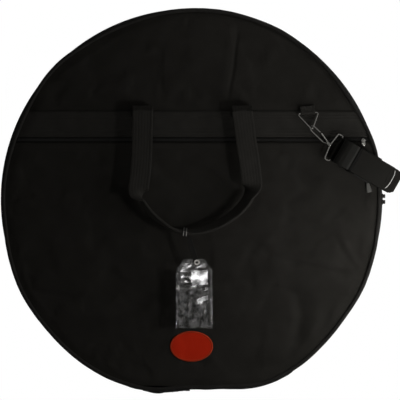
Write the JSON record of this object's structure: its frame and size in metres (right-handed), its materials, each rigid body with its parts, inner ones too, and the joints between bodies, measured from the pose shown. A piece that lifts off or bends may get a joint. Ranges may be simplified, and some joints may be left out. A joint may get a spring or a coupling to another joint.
{
  "type": "cymbal bag",
  "caption": "Round padded soft case for cymbals: zipped opening flap, front pocket, webbing carry handles, luggage tag, and a folded shoulder strap clipped to a ring.",
  "frame": {"origin": "on the bag's axis at the flat underside of the back panel", "axes": "+Z out of the front panel, +Y towards the bag's top as it is carried, +X to the right seen from the front"},
  "size_m": [0.6346, 0.6037, 0.1017],
  "materials": {
    "nylon": "coated black pack cloth, fine plain weave",
    "webbing": "black ribbed webbing and zipper tape",
    "piping": "black fabric-covered piping",
    "lining": "thin smooth lining cloth",
    "foam": "grey closed-cell foam",
    "coil": "black nylon zipper coil",
    "metal": "nickel-plated wire and zipper sliders",
    "plastic": "moulded black plastic",
    "elastic": "black elastic and cord",
    "badge": "bare red embroidered patch",
    "vinyl": "clear soft vinyl",
    "card": "blank dark grey card"
  },
  "bodies": {
    "bag": {"back_panel": "nylon", "back_foam": "foam", "back_lining": "lining", "back_belt": "webbing", "back_ring_loop": "webbing", "back_piping": "piping", "gusset_lower": "nylon", "gusset_back_upper": "nylon", "gusset_join_cover": "nylon", "main_zip_tape_back": "webbing", "main_zip_coil_back": "coil", "main_zip_chain_end_right": "coil", "main_zip_chain_end_left": "coil", "main_zip_stop_right": "nylon", "main_zip_stop_left": "nylon", "front_panel_lower": "nylon", "front_foam_lower": "foam", "front_lining_lower": "lining", "front_piping_lower": "piping", "pocket_panel_lower": "nylon", "badge_patch": "badge"},
    "flap": {"front_panel_upper": "nylon", "front_foam_upper": "foam", "front_lining_upper": "lining", "front_piping_upper": "piping", "gusset_front_upper": "nylon", "main_zip_tape_front": "webbing", "main_zip_coil_front": "coil", "pocket_panel_upper": "nylon", "pocket_zip_tape": "webbing", "pocket_zip_coil": "coil", "front_belt": "webbing", "front_ring_loop": "webbing", "front_handle_fold_left": "webbing", "front_handle_fold_right": "webbing"},
    "front_handle": {"front_handle": "webbing", "tag_loop": "webbing"},
    "tag": {"tag_strap": "webbing", "tag_eyelet": "metal", "tag_pouch": "vinyl", "tag_card": "card"},
    "front_ring": {"front_ring": "metal"},
    "snap_hook": {"snap_hook": "metal"},
    "hook_gate": {"hook_gate": "metal"},
    "swivel_eye": {"swivel_eye": "metal"},
    "strap": {"shoulder_strap": "webbing", "strap_tie": "elastic", "strap_adjuster": "plastic", "inner_hook": "metal"},
    "pocket_slider": {"pocket_slider": "metal"},
    "pocket_pull": {"pocket_pull_cord": "elastic", "pocket_pull_grip": "plastic"},
    "back_handle": {"back_handle": "webbing"},
    "back_ring": {"back_ring": "metal"},
    "main_slider_upper": {"main_slider_upper": "metal"},
    "main_slider_lower": {"main_slider_lower": "metal"},
    "main_pull_upper": {"main_pull_upper": "metal"},
    "main_pull_lower": {"main_pull_lower": "metal"}
  },
  "joints": [
    {"name": "flap_fold", "type": "hinge", "parent": "bag", "child": "flap", "pos_m": [0, -0.2043, 0.0656], "axis": [1, 0, 0], "range_deg": [0, 90]},
    {"name": "front_handle_lift", "type": "hinge", "parent": "flap", "child": "front_handle", "pos_m": [0, 0.143, 0.087], "axis": [1, 0, 0], "range_deg": [-160, 0]},
    {"name": "tag_swing", "type": "hinge", "parent": "front_handle", "child": "tag", "pos_m": [-0.00557, -0.0564, 0.096], "axis": [1, 0, 0], "range_deg": [-70, 9]},
    {"name": "front_ring_swing", "type": "hinge", "parent": "flap", "child": "front_ring", "pos_m": [0.1829, 0.136, 0.0679], "axis": [0.9972, 0.075, 0], "range_deg": [-140, 0]},
    {"name": "snap_hook_swing", "type": "hinge", "parent": "front_ring", "child": "snap_hook", "pos_m": [0.18948, 0.11153, 0.07308], "axis": [-0.6949, -0.7192, 0], "range_deg": [0, 12]},
    {"name": "hook_gate_press", "type": "hinge", "parent": "snap_hook", "child": "hook_gate", "pos_m": [0.21014, 0.09544, 0.07856], "axis": [0.6443, 0.5165, -0.564], "range_deg": [-25, 0], "stiffness_Nm_per_rad": 0.02, "springref_deg": 5.73},
    {"name": "swivel_turn", "type": "hinge", "parent": "snap_hook", "child": "swivel_eye", "pos_m": [0.21732, 0.08531, 0.07748], "axis": [0.7071, -0.6833, 0.1819], "range_deg": [0, 12]},
    {"name": "strap_lift", "type": "hinge", "parent": "swivel_eye", "child": "strap", "pos_m": [0.22724, 0.07958, 0.07648], "axis": [-0.5, -0.866, 0], "range_deg": [0, 70]},
    {"name": "main_zip_run_upper", "type": "hinge", "parent": "bag", "child": "main_slider_upper", "pos_m": [0, 0, 0.0329], "axis": [0, 0, 1], "range_deg": [0, 220]},
    {"name": "main_pull_swing_upper", "type": "hinge", "parent": "main_slider_upper", "child": "main_pull_upper", "pos_m": [0.30485, 0.00528, 0.03745], "axis": [0.0173, -0.9998, 0], "range_deg": [0, 120]},
    {"name": "main_zip_run_lower", "type": "hinge", "parent": "bag", "child": "main_slider_lower", "pos_m": [0, 0, 0.0329], "axis": [0, 0, 1], "range_deg": [-41, 0]},
    {"name": "main_pull_swing_lower", "type": "hinge", "parent": "main_slider_lower", "child": "main_pull_lower", "pos_m": [0.30488, -0.00386, 0.03745], "axis": [-0.0127, -0.9999, 0], "range_deg": [0, 120]},
    {"name": "pocket_zip_run", "type": "slide", "parent": "flap", "child": "pocket_slider", "axis": [-1, 0, 0], "range_m": [0, 0.52]},
    {"name": "pocket_pull_swing", "type": "hinge", "parent": "pocket_slider", "child": "pocket_pull", "pos_m": [0.2635, 0.08945, 0.0654], "axis": [0, 0, 1], "range_deg": [-30, 0]},
    {"name": "back_handle_swing", "type": "hinge", "parent": "bag", "child": "back_handle", "pos_m": [0, 0.143, 0.0011], "axis": [1, 0, 0], "range_deg": [0, 150]},
    {"name": "back_ring_swing", "type": "hinge", "parent": "bag", "child": "back_ring", "pos_m": [-0.1829, 0.136, 0.0037], "axis": [1, 0, 0], "range_deg": [0, 140]}
  ]
}
